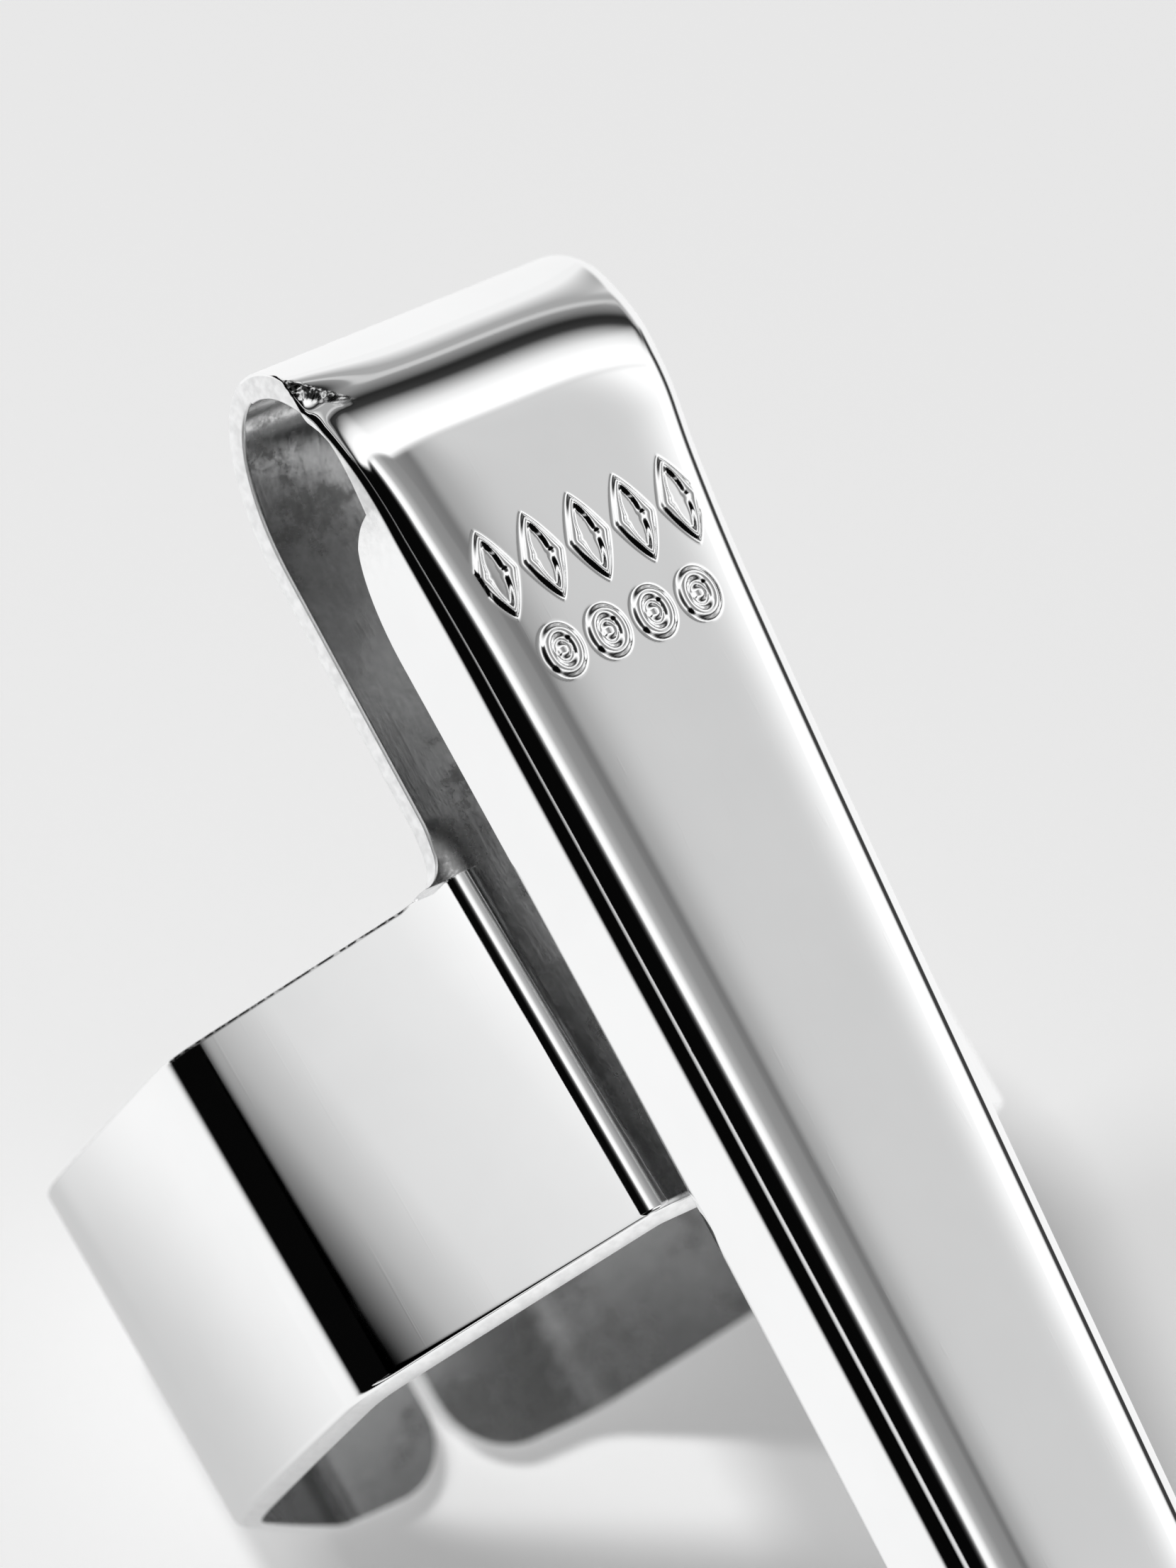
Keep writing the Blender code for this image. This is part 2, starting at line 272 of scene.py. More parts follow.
def band_path():
    """Outside points, normals and distances of the left half of the band, in the XZ plane."""
    headings = []
    steps = []
    for fold, length in enumerate(FOLD_LENGTHS):
        heading, step = half_fold(length)
        base = FACET_ANGLE * fold
        headings += [base + heading, base + FACET_ANGLE - heading[::-1]]
        steps += [step, step[::-1]]
    heading = np.radians(np.concatenate(headings))
    step = np.concatenate(steps)
    x = np.concatenate([[0], -np.cumsum(step * np.cos(heading))])
    z = np.concatenate([[BAND_FRONT_Z], BAND_FRONT_Z - np.cumsum(step * np.sin(heading))])
    point_heading = np.concatenate([heading[:1] * 0, (heading[1:] + heading[:-1]) / 2, [math.pi]])
    normal = np.stack([-np.sin(point_heading), np.cos(point_heading)], axis=1)
    return np.stack([x, z], axis=1), normal, np.concatenate([[0], np.cumsum(step)])


def band_ring(low, high, softness):
    """Ring across the band as (along the barrel, depth below the outside), with its looks."""
    arc = np.radians(np.linspace(0, 90, ARC_STEPS + 1))
    lip_start = low + CUT_SLANT
    outer = [(y, 0.0) for y in np.linspace(lip_start + ROLLOVER + MARGIN, high - softness - MARGIN,
                                           OUTER_COLUMNS)]
    top = [(high - softness + softness * math.sin(a), softness * (1 - math.cos(a))) for a in arc]
    bottom = [(high - softness + softness * math.sin(a), SHEET - softness * (1 - math.cos(a)))
              for a in arc[::-1]]
    inner = [(y, SHEET) for y in np.linspace(high - softness - MARGIN, low + EDGE_RADIUS + MARGIN,
                                             OUTER_COLUMNS)]
    foot = [(low + EDGE_RADIUS * (1 - math.sin(a)), SHEET - EDGE_RADIUS * (1 - math.cos(a)))
            for a in arc]
    lip = [(lip_start + ROLLOVER * (1 - math.cos(a)), ROLLOVER * (1 - math.sin(a)))
           for a in np.radians(np.linspace(10, 90, ARC_STEPS + 1))]
    parts = outer, top, bottom, inner, foot, lip
    top_at, bottom_at, _, foot_at, lip_at, _ = np.cumsum([len(part) for part in parts])
    ring = np.concatenate(parts)
    sheared = np.zeros(len(ring))
    sheared[top_at + ARC_STEPS // 2:bottom_at + ARC_STEPS // 2 + 1] = 1
    sheared[foot_at + INTO_CORNER:lip_at + 1] = 1
    # The inside of the band takes the smudges and the painted shade.
    hidden = np.zeros(len(ring))
    hidden[bottom_at:foot_at + INTO_CORNER] = 1
    return ring, hidden, sheared


def wing_stations():
    """The band's path, cut at the free end, with extra stations over its round corner."""
    path, normal, distance = band_path()
    end = distance[-1] - FREE_END_GAP / 2
    turned = np.radians(np.linspace(0, 90, CORNER_STATIONS))
    corner = end - FREE_END_CORNER * (1 - np.sin(turned))
    stations = np.concatenate([distance[distance < corner[0] - EDGE_RADIUS], corner])
    path = np.stack([np.interp(stations, distance, path[:, i]) for i in (0, 1)], axis=1)
    normal = np.stack([np.interp(stations, distance, normal[:, i]) for i in (0, 1)], axis=1)
    return path, normal, stations, end


def band_rows(side):
    """Stand the band's ring on its path, with the free end's round corners."""
    path, normal, stations, end = wing_stations()
    rows = []
    shade_and_smudge = []
    for (x, z), (nx, nz), along in zip(path, normal, stations):
        back = np.clip((along - (end - FREE_END_CORNER)) / FREE_END_CORNER, 0, CORNER_LIMIT)
        inset = FREE_END_CORNER * (1 - math.sqrt(1 - back ** 2))
        beside_neck = abs(x) <= HALF_STRIP + FILLET and z > BAND_MID_Z
        softness = 0.0 if beside_neck else EDGE_RADIUS
        ring, hidden, cut = band_ring(BAND_LOW_Y + inset, BAND_HIGH_Y - inset, softness)
        rows.append(np.stack([side * -(x - nx * ring[:, 1]), ring[:, 0], z - nz * ring[:, 1]], axis=1))
        # Painted shade, with smudges, on the front facet under the arm.
        under_arm = front_painted_shade(x) if z > BAND_MID_Z else 0.0
        looks = np.maximum(hidden, under_arm)
        # A painted dark reflection runs along the shoulder facets' upper edge.
        if not beside_neck and SHOULDER_NORMALS[0] < nz < SHOULDER_NORMALS[1]:
            looks[OUTER_COLUMNS:OUTER_COLUMNS + 3] = EDGE_PAINTED_DARK
        shade_and_smudge.append(looks)
    return np.array(rows), np.array(shade_and_smudge), cut


def front_painted_shade(x):
    """The front facet takes smudges and painted shade between its folds, where the arm covers it."""
    return 1 - rise(abs(x), SHADED_FRONT)


def make_band(material):
    """The front facet and the two wings, which meet where its folds start."""
    _, _, stations, _ = wing_stations()
    fold_start = np.argmax(stations > half_facet_run() - 1e-6)
    halves = {}
    wings = {}
    for side, hand in ((-1, "left"), (1, "right")):
        rows, shade_and_smudge, cut = band_rows(side)
        wings[hand] = make_piece(hand + "_wing_strip", rows[fold_start:], shade_and_smudge[fold_start:], cut,
                                 material, True, end_caps())
        halves[hand] = rows[:fold_start + 1], shade_and_smudge[:fold_start + 1]
    front_rows, front_looks = [np.concatenate([left[::-1], right[1:]])
                               for left, right in zip(halves["left"], halves["right"])]
    front = make_piece("front_facet_strip", front_rows, front_looks, cut, material, True, end_caps())
    return front, wings["left"], wings["right"]


def half_facet_run():
    """From the middle of the front facet to where its fold starts."""
    _, steps = half_fold(FOLD_LENGTHS[0])
    return steps[:FACET_STEPS].sum()


# The path of the neck, the loop and the arm ------------------------------------------------------

def loop_point(turn):
    """Outside point and normal of the loop, whose outside faces turn degrees up from +Y."""
    angle = np.radians(turn)
    normal = np.stack([np.cos(angle), np.sin(angle)], axis=-1)
    axes = np.array([LOOP_REACH, LOOP_HEIGHT / 2])
    reach = np.hypot(axes[0] * normal[..., 0], axes[1] * normal[..., 1])
    return LOOP_MID + normal * axes ** 2 / reach[..., None], normal


def arm_point(distance):
    """Point and outward normal of the arm's face, past the end of the loop."""
    tilt = math.radians(ARM_TILT)
    angle = tilt + distance / ARM_BOW_RADIUS
    start, _ = loop_point(np.array(90 + ARM_TILT))
    y = start[0] - ARM_BOW_RADIUS * (np.sin(angle) - math.sin(tilt))
    z = start[1] - ARM_BOW_RADIUS * (math.cos(tilt) - np.cos(angle))
    return np.stack([y, z], axis=-1), np.stack([-np.sin(angle), np.cos(angle)], axis=-1)


def arm_half_width(distance):
    """Half the arm's width, constant on the loop and then narrowing."""
    start = (distance + TAPER_BLEND) ** 2 / (4 * TAPER_BLEND)
    run = np.where(distance > TAPER_BLEND, distance, np.where(distance < -TAPER_BLEND, 0, start))
    return HALF_STRIP - ARM_TAPER * run + TAPER_EASING * run ** 2


def tip_start():
    """Where the arm's round tip starts, so that its rolled edge ends at TIP_Y."""
    distance = LOOP_MID[0] - TIP_Y
    for _ in range(30):
        place, normal = arm_point(np.array(distance))
        ahead = arm_half_width(np.array(distance))
        reach = place[0] - normal[1] * ahead - normal[0] * FLANGE_DEPTH
        distance += reach - TIP_Y
    return float(distance)


# The arm ----------------------------------------------------------------------------------------

PATTERN_ROWS = (
    # centre along the arm, number of motifs, spacing, half width, half length, roundness, bead
    (1.45, 5, 0.96, 0.46, 0.82, 1.2, 0.0),
    (3.0, 4, 0.95, 0.45, 0.52, 2.0, 0.2),
)
PATTERN_HEIGHT = 0.08
PATTERN_MARGIN = 0.8         # fine grid kept past the last row's centre
STROKE = 0.17                # half width of the raised rim of each motif
BEAD_STEEPNESS = 6.0         # how fast a bead rises from its edge, per millimetre
BEAD_HEIGHT = 0.9            # of a rim's height
FAR_AWAY = 9.0

SOFT_STEPS = 14              # points over the gentler bend beside the roll
TIGHT_STEPS = 24             # and over the roll
WALL_STEPS = 11              # down the strip's side
RIM_STEPS = 4                # round each corner of its lower edge
INNER_WALL_STEPS = 5         # up the inside of the side,
INNER_ROLL_STEPS = 8         # round the inside of the roll
INNER_FACE_STEPS = 23        # and across under the face
INNER_LEAST = 0.01           # the inside of the roll never gets smaller
TIP_STEPS = 72               # rows round the tip
LOOP_STRETCHES = ((0, 1, 0.5), (1, 42, 1.2), (42, 68, 0.5), (68, 84, 1.0))     # from, to, step


def pattern(x, distance):
    """Height of the raised pattern: a row of upright lozenges above a row of ringed beads."""
    rims = np.full_like(x, FAR_AWAY)
    beads = np.zeros_like(x)
    for centre, count, spacing, half_width, half_length, roundness, bead in PATTERN_ROWS:
        for i in range(count):
            across = x - (i - (count - 1) / 2) * spacing
            along = distance - centre
            from_centre = np.hypot(across, along)
            radius = (np.abs(across / half_width) ** roundness
                      + np.abs(along / half_length) ** roundness) ** (1 / roundness)
            size = from_centre / np.maximum(radius, 1e-6)
            rims = np.minimum(rims, np.abs((radius - 1) * size + STROKE))
            beads = np.maximum(beads, ease(BEAD_STEEPNESS * (bead - from_centre)))
    rim = 0.5 + 0.5 * np.cos(math.pi * np.clip(rims / STROKE, 0, 1))
    return PATTERN_HEIGHT * np.maximum(rim, BEAD_HEIGHT * beads)


def grown(distance, pair):
    """The first value where the roll starts, easing to the second by the tip."""
    run = max(distance - GROWTH_FROM, 0.0)
    growth = 1 - math.exp(-run ** 2 / (GROWTH_LENGTH * (run + GROWTH_EASING)))
    return pair[0] + (pair[1] - pair[0]) * growth


def side_depth(distance):
    """Height of the strip's side: the sheet on the loop, then the heel, then the flange."""
    depth = SHEET + (SIDE_DEPTH - SHEET) * rise(distance, SIDE_RISE)
    depth += (HEEL_DEPTH - SIDE_DEPTH) * rise(distance, HEEL_RISE)
    back = np.clip((distance - FLANGE_FROM) / FLANGE_SHOULDER, 0, 1)
    return depth + (FLANGE_DEPTH - HEEL_DEPTH) * math.sqrt(1 - (1 - back) ** 2)


def corner_swell(distance, side):
    """How much the loop's right corner bulges, which also rounds it."""
    if side < 1:
        return 0.0
    return CORNER_SWELL * rise(distance, SWELL_RISE) * (1 - rise(distance, SWELL_FALL))


def roll_curve(distance, start, side):
    """Points of the edge's roll, from the face at heading start to the side, and the side's lean."""
    rolled = rise(distance, (ROLL_FROM, ROLL_RUN[side > 0]))
    tight = EDGE_RADIUS + (grown(distance, ROLL_RADIUS) - EDGE_RADIUS) * rolled
    tight += corner_swell(distance, side)
    soft = max(grown(distance, SOFT_RADIUS) * rolled, tight)
    middle = math.radians(SOFT_ANGLE)
    upright = math.radians(90 - LEAN * rolled)
    headings = np.concatenate([np.linspace(start, middle, SOFT_STEPS + 1)[1:],
                               np.linspace(middle, upright, TIGHT_STEPS + 1)[1:]])
    radius = np.repeat([soft, tight], [SOFT_STEPS, TIGHT_STEPS])
    before = np.concatenate([[start], headings[:-1]])
    x = np.cumsum(radius * (np.sin(headings) - np.sin(before)))
    z = np.cumsum(radius * (np.cos(headings) - np.cos(before)))
    return x, z, math.tan(math.radians(LEAN * rolled))


def crumple(inset, distance, side):
    """Dents where the left edge starts to roll, and how near each point is to their ridges, which also
    sets the painted shade in the dents.

    inset is measured from the strip's side.
    """
    past = CRUMPLE_SLOPE * (distance - ROLL_FROM) - inset
    along = rise(distance, CRUMPLE_RISE) * (1 - rise(distance, CRUMPLE_FALL))
    pressed = ease(past / CRUMPLE_BORDER) * along
    near = ease((past - RIDGES[0]) / RIDGE_FADES[0]) * ease((RIDGES[1] - past) / RIDGE_FADES[1]) * along
    ridges = (np.sin(RIDGE_WAVES[0] * inset + 3 * np.sin(9 * distance))
              * np.sin(RIDGE_WAVES[1] * distance + 5 * inset))
    strength = 1.0 if side < 0 else 0.0
    return strength * (RIDGE_HEIGHT * near * ridges - CRUMPLE_DEPTH * pressed), strength * near


def arm_ring(distance, side):
    """Half a section as (across, above the face), outside then inside, with its wear and cut.

    side is -1 on the left, 1 on the right and 0 round the tip, where both are alike.
    """
    swell = corner_swell(distance, side)
    width = float(arm_half_width(np.array(distance))) + swell
    crown = FACE_CROWN + LOOP_CROWN * (1 - rise(distance, LOOP_CROWN_FALL))
    crown *= math.radians(rise(distance, CROWN_RISE))
    roll_x, roll_z, lean = roll_curve(distance, crown, side)
    depth = max(side_depth(distance), -roll_z[-1] * min(swell / EDGE_RADIUS, 1) + 2 * EDGE_RADIUS)
    room = LEAN_ROOM * rise(distance, LEAN_RISE)
    side_run = min(lean * (depth + roll_z[-1]), room)
    face = width - room - roll_x[-1]
    share = np.linspace(0, 1, FACE_COLUMNS)
    x = share * face
    z = -crown * face / 4 * share ** 4
    outside = np.stack([np.concatenate([x, face + roll_x]), np.concatenate([z, z[-1] + roll_z])], 1)
    dent, near = crumple(width - outside[:, 0], distance, side)
    outside[:, 1] += dent
    if side:
        outside[:FACE_COLUMNS, 1] += pattern(side * x, np.full_like(x, distance))

    top = outside[-1, 1]
    share = np.linspace(0, 1, WALL_STEPS + 1)[1:]
    wall_x = outside[-1, 0] + side_run * share
    wall = top + (EDGE_RADIUS - depth - top) * share
    arc = np.radians(np.linspace(0, 90, RIM_STEPS + 1))[1:]
    foot = wall_x[-1]
    rim = [(foot - EDGE_RADIUS * (1 - math.cos(a)), wall[-1] - EDGE_RADIUS * math.sin(a)) for a in arc]
    rim += [(foot - SHEET + EDGE_RADIUS * (1 - math.cos(a)), wall[-1] - EDGE_RADIUS * math.sin(a))
            for a in arc[::-1]]
    inner_reach = max(roll_x[-1] - SHEET, INNER_LEAST)
    inner_drop = max(-roll_z[-1] - SHEET, INNER_LEAST)
    inner_top = max(-SHEET - inner_drop, wall[-1])
    share = np.linspace(0, 1, INNER_WALL_STEPS + 1)
    inner_wall = wall[-1] + (inner_top - wall[-1]) * share
    inner_wall_x = foot - SHEET - side_run * share
    turn = np.radians(np.linspace(90, 0, INNER_ROLL_STEPS + 1))[1:]
    inner_x = inner_wall_x[-1] - inner_reach * (1 - np.sin(turn))
    inner_z = inner_top + inner_drop * np.cos(turn)
    inner_face = inner_x[-1] * np.linspace(1, 0, INNER_FACE_STEPS + 1)[1:]

    ring = np.concatenate([
        outside,
        np.stack([wall_x, wall], 1),
        rim,
        np.stack([inner_wall_x, inner_wall], 1),
        np.stack([inner_x, inner_z], 1),
        np.stack([inner_face, np.full_like(inner_face, inner_z[-1])], 1)])
    wall_at, rim_at, inside_at = np.cumsum([len(outside), len(wall), len(rim)])
    cut = np.zeros(len(ring))
    cut[wall_at - 1:rim_at] = 1 - rise(distance, SHEARED_SIDE_FALL)
    cut[rim_at:inside_at] = 1
    shade_and_smudge = np.zeros(len(ring))
    # Painted shade: the crumpled dents nearly black, and the inside under the face with the smudges and
    # painted shade.
    shade_and_smudge[:wall_at] = DENT_PAINTED_SHADE * near
    shade_and_smudge[inside_at:] = 1
    return ring, shade_and_smudge, cut


def arm_stations():
    """Points, normals and distances of the arm's rows, from the loop's far side to the tip."""
    turns = np.concatenate([span(*stretch)[:-1] for stretch in LOOP_STRETCHES]
                           + [span(LOOP_STRETCHES[-1][1], 90 + ARM_TILT, 0.4)])
    loop, loop_normal = loop_point(turns)
    gaps = np.hypot(*(np.diff(loop, axis=0).T))
    loop_distance = np.concatenate([np.cumsum(gaps[::-1])[::-1] * -1, [0]])
    start = tip_start()
    pattern_end = PATTERN_ROWS[-1][0] + PATTERN_MARGIN
    distance = np.concatenate([span(0, pattern_end, FINE)[1:], span(pattern_end, start, COARSE)[1:]])
    arm, arm_normal = arm_point(distance)
    points = np.concatenate([loop, arm])
    normals = np.concatenate([loop_normal, arm_normal])
    return points, normals, np.concatenate([loop_distance, distance])


def make_arm(material):
    """The arm and the front half of the loop, with the round tip swept about its middle."""
    points, normals, distances = arm_stations()
    sides = {}
    for side in (-1, 1):
        sides[side] = [], [], []
        for (y, z), (ny, nz), distance in zip(points, normals, distances):
            ring, shade_and_smudge, cut = arm_ring(distance, side)
            place = np.stack([side * ring[:, 0], y + ny * ring[:, 1], z + nz * ring[:, 1]], 1)
            for store, value in zip(sides[side], (place, shade_and_smudge, cut)):
                store.append(value)
    (y, z), (ny, nz) = points[-1], normals[-1]
    ring, shade_and_smudge, cut = arm_ring(distances[-1], 0)
    angles = np.radians(np.linspace(0, 180, TIP_STEPS + 1))[1:-1]
    tip = []
    for angle in angles:
        across = -math.cos(angle) * ring[:, 0]
        ahead = math.sin(angle) * ring[:, 0]
        tip.append(np.stack([across, y - nz * ahead + ny * ring[:, 1],
                             z + ny * ahead + nz * ring[:, 1]], 1))
    middle = tip, [shade_and_smudge] * len(angles), [cut] * len(angles)
    rows, shade_and_smudge, cut = [np.array(left + between + right[::-1])
                       for left, between, right in zip(sides[-1], middle, sides[1])]
    cap = [lambda index: np.concatenate([index[0], index[-1][::-1]])]
    return make_piece("arm_strip", rows, shade_and_smudge, cut, material, False, cap)


# The neck and the back half of the loop ----------------------------------------------------------

NECK_ROWS = (0.01, 0.02)     # close rows above the foot, which keep its edge crisp
NECK_RIM = 0.02              # flat rim beside the neck's softened edges
NECK_COLUMN = 0.12           # grid step across the neck


def neck_stations():
    """Back points and outward normals from the band's edge up to the loop's far side."""
    tilt = math.radians(NECK_TILT)
    meet, _ = loop_point(np.array(NECK_TILT - 90))
    fine_end = BAND_HIGH_Y + NECK_FLATTENING + COARSE
    y = np.concatenate([[BAND_HIGH_Y, BAND_HIGH_Y + NECK_ROWS[0]],
                        span(BAND_HIGH_Y + NECK_ROWS[1], fine_end, FINE),
                        span(fine_end, meet[0], COARSE)[1:-1]])
    base = meet[1] - (meet[0] - BAND_HIGH_Y) * math.tan(tilt)
    turned = ease((y - BAND_HIGH_Y) / (2 * NECK_KINK))
    z = base + (y - BAND_HIGH_Y) * math.tan(tilt)
    z += (BAND_FRONT_Z - SHEET - base) * (1 - turned)
    heading = tilt * turned
    neck_normal = np.stack([np.sin(heading), -np.cos(heading)], 1)
    turns = np.concatenate([span(NECK_TILT - 90, -1, 1.5), span(-1, 0, 0.5)[1:]])
    loop, loop_normal = loop_point(turns)
    return np.concatenate([np.stack([y, z], 1), loop]), np.concatenate([neck_normal, loop_normal])


def fold_drop(across):
    """How far the band's fold lies below the front facet at a distance across."""
    path, _, _ = band_path()
    under_neck = path[:NECK_FOOT_POINTS]
    return np.interp(np.abs(across), -under_neck[:, 0], BAND_FRONT_Z - under_neck[:, 1])


def neck_ring():
    """Ring across the neck as (across, depth below its front), with softened cut edges."""
    arc = np.radians(np.linspace(0, 90, ARC_STEPS + 1))
    edge = HALF_STRIP - EDGE_RADIUS
    front = span(-edge + NECK_RIM, edge - NECK_RIM, NECK_COLUMN)
    ring = [(x, 0.0) for x in front]
    ring += [(edge + EDGE_RADIUS * math.sin(a), EDGE_RADIUS * (1 - math.cos(a))) for a in arc]
    ring += [(edge + EDGE_RADIUS * math.sin(a), SHEET - EDGE_RADIUS * (1 - math.cos(a)))
             for a in arc[::-1]]
    ring += [(x, SHEET) for x in front[::-1]]
    ring += [(-edge - EDGE_RADIUS * math.sin(a), SHEET - EDGE_RADIUS * (1 - math.cos(a))) for a in arc]
    ring += [(-edge - EDGE_RADIUS * math.sin(a), EDGE_RADIUS * (1 - math.cos(a))) for a in arc[::-1]]
    side = 2 * len(arc)
    shade_and_smudge = np.zeros(len(ring))
    # The neck's front, facing the arm inside the loop, takes the smudges and the painted shade.
    shade_and_smudge[:len(front) + INTO_CORNER] = 1
    shade_and_smudge[-INTO_CORNER:] = 1
    cut = np.zeros(len(ring))
    cut[len(front) + INTO_CORNER:len(front) + side - INTO_CORNER] = 1
    cut[len(ring) - side + INTO_CORNER:-INTO_CORNER] = 1
    return np.array(ring), shade_and_smudge, cut


def make_neck(material):
    """The neck and the back half of the loop, whose foot takes the shape of the band's folds."""
    points, normals = neck_stations()
    ring, shade_and_smudge, cut = neck_ring()
    rows = []
    for (y, z), (ny, nz) in zip(points, normals):
        past = np.clip((BAND_HIGH_Y + FILLET - y) / FILLET, 0, 1)
        wide = 1 + FILLET * (1 - math.sqrt(1 - past ** 2)) / HALF_STRIP
        fade = 1 - rise(y, (BAND_HIGH_Y + NECK_MARGIN, NECK_FLATTENING))
        across = ring[:, 0] * wide
        depth = SHEET - ring[:, 1]
        drop = fold_drop(across) * fade
        rows.append(np.stack([across, y - ny * depth, z - nz * depth - drop], 1))
    return make_piece("neck_strip", np.array(rows), shade_and_smudge, cut, material, True, end_caps())


# Materials --------------------------------------------------------------------------------------

PLATING_TINT = (0.995, 0.998, 1.0)
# How far the painted black darkens the plating.
PAINTED_BLACK_DEPTH = 0.96
BUMP_STRENGTH = 0.12
BUMP_DEPTH = 0.01


class Nodes:
    """A short way to add and join shader nodes."""

    def __init__(self, tree):
        self.tree = tree

    def add(self, kind, **settings):
        node = self.tree.nodes.new(kind)
        for key, value in settings.items():
            setattr(node, key, value)
        return node

    def join(self, source, target):
        self.tree.links.new(source, target)

    def math(self, operation, first, second=0.0, third=0.0):
        node = self.add("ShaderNodeMath", operation=operation)
        for socket, value in zip(node.inputs, (first, second, third)):
            if isinstance(value, (int, float)):
                socket.default_value = value
            else:
                self.join(value, socket)
        return node.outputs[0]

    def noise(self, vector, scale, detail=3.0, roughness=0.5):
        node = self.add("ShaderNodeTexNoise")
        node.inputs["Scale"].default_value = scale
        node.inputs["Detail"].default_value = detail
        node.inputs["Roughness"].default_value = roughness
        self.join(vector, node.inputs["Vector"])
        return node.outputs["Fac"]

    def stretch(self, vector, scale, rotation=(0, 0, 0)):
        node = self.add("ShaderNodeMapping")
        node.inputs["Scale"].default_value = scale
        node.inputs["Rotation"].default_value = rotation
        self.join(vector, node.inputs["Vector"])
        return node.outputs[0]

    def step(self, value, low, high, from_value=0.0, to_value=1.0):
        node = self.add("ShaderNodeMapRange", interpolation_type="SMOOTHSTEP")
        node.inputs["From Min"].default_value = low
        node.inputs["From Max"].default_value = high
        node.inputs["To Min"].default_value = from_value
        node.inputs["To Max"].default_value = to_value
        self.join(value, node.inputs["Value"])
        return node.outputs["Result"]

    def ramp(self, value, stops):
        node = self.add("ShaderNodeValToRGB")
        elements = node.color_ramp.elements
        while len(elements) > 1:
            elements.remove(elements[-1])
        for i, (position, level) in enumerate(stops):
            stop = elements[0] if i == 0 else elements.new(position)
            stop.position = position
            stop.color = (level, level, level, 1)
        self.join(value, node.inputs["Fac"])
        return node.outputs["Color"]

    def between(self, amount, first, second):
        """first where amount is 0, second where it is 1."""
        return self.math("MULTIPLY_ADD", amount, self.math("SUBTRACT", second, first), first)

    def mix(self, factor, first, second):
        """Colour first where factor is 0, second where it is 1; second can be one level of grey."""
        node = self.add("ShaderNodeMix", data_type="RGBA")
        first_colour, second_colour = [s for s in node.inputs if s.type == "RGBA"]
        self.join(factor, node.inputs["Factor"])
        self.join(first, first_colour)
        if isinstance(second, float):
            second_colour.default_value = (second, second, second, 1)
        else:
            self.join(second, second_colour)
        return [s for s in node.outputs if s.type == "RGBA"][0]

    def bump(self, height, strength, distance):
        node = self.add("ShaderNodeBump")
        node.inputs["Strength"].default_value = strength
        node.inputs["Distance"].default_value = distance
        self.join(height, node.inputs["Height"])
        return node.outputs["Normal"]


def new_material(name):
    """A material with its nodes, its shader and the socket that its surface goes into."""
    material = bpy.data.materials.new(name)
    material.use_nodes = True
    shader = material.node_tree.nodes["Principled BSDF"]
    surface = material.node_tree.nodes["Material Output"].inputs["Surface"]
    return material, Nodes(material.node_tree), shader, surface


def polished(nodes, place):
    """Mirror plating with faint clouding and a few hairline scratches: level, roughness, height."""
    clouding = nodes.noise(place, scale=260.0, detail=4.0, roughness=0.6)
    level = nodes.step(clouding, 0.3, 0.75, from_value=0.975, to_value=0.94)
    haze = nodes.noise(place, scale=900.0, detail=5.0, roughness=0.65)
    roughness = nodes.step(haze, 0.35, 0.8, from_value=0.02, to_value=0.06)
    hairs = nodes.noise(nodes.stretch(place, (9000.0, 200.0, 9000.0), rotation=(0, 0, 0.3)),
                        scale=1.0, detail=2.0, roughness=0.5)
    return level, roughness, nodes.step(hairs, 0.62, 0.8, from_value=0.0, to_value=0.10)


def smudged_and_shaded(nodes, place):
    """The strip's inner side and the parts under the arm: mottled smudges over a level lowered as
    painted shade.
    """
    speckle = nodes.noise(nodes.stretch(place, (9000.0, 5000.0, 5000.0)), scale=1.0, roughness=0.6)
    cloud = nodes.noise(place, scale=330.0, detail=7.0, roughness=0.78)
    blotch = nodes.step(nodes.math("MULTIPLY_ADD", speckle, 0.16, cloud), 0.56, 0.70)
    # The low level stands in for painted shade; the blotches and speckle are smudges.
    level = nodes.math("MULTIPLY_ADD", blotch, -0.36, 0.70)
    level = nodes.math("ADD", level, nodes.step(speckle, 0.25, 0.75, from_value=-0.07, to_value=0.07))
    roughness = nodes.math("MULTIPLY_ADD", blotch, 0.18, 0.15)
    fibre = nodes.noise(nodes.stretch(place, (7000.0, 500.0, 500.0)), scale=1.0, roughness=0.6)
    return level, roughness, nodes.math("MULTIPLY_ADD", fibre, 1.3, speckle)


def sheared(nodes, place):
    """Cut edge of the sheet: satin, pale and very finely grained."""
    grain = nodes.noise(place, scale=5200.0, detail=4.0, roughness=0.65)
    level = nodes.step(grain, 0.3, 0.7, from_value=0.99, to_value=0.9)
    roughness = nodes.step(grain, 0.3, 0.7, from_value=0.3, to_value=0.42)
    return level, roughness, nodes.math("MULTIPLY", grain, 0.6)


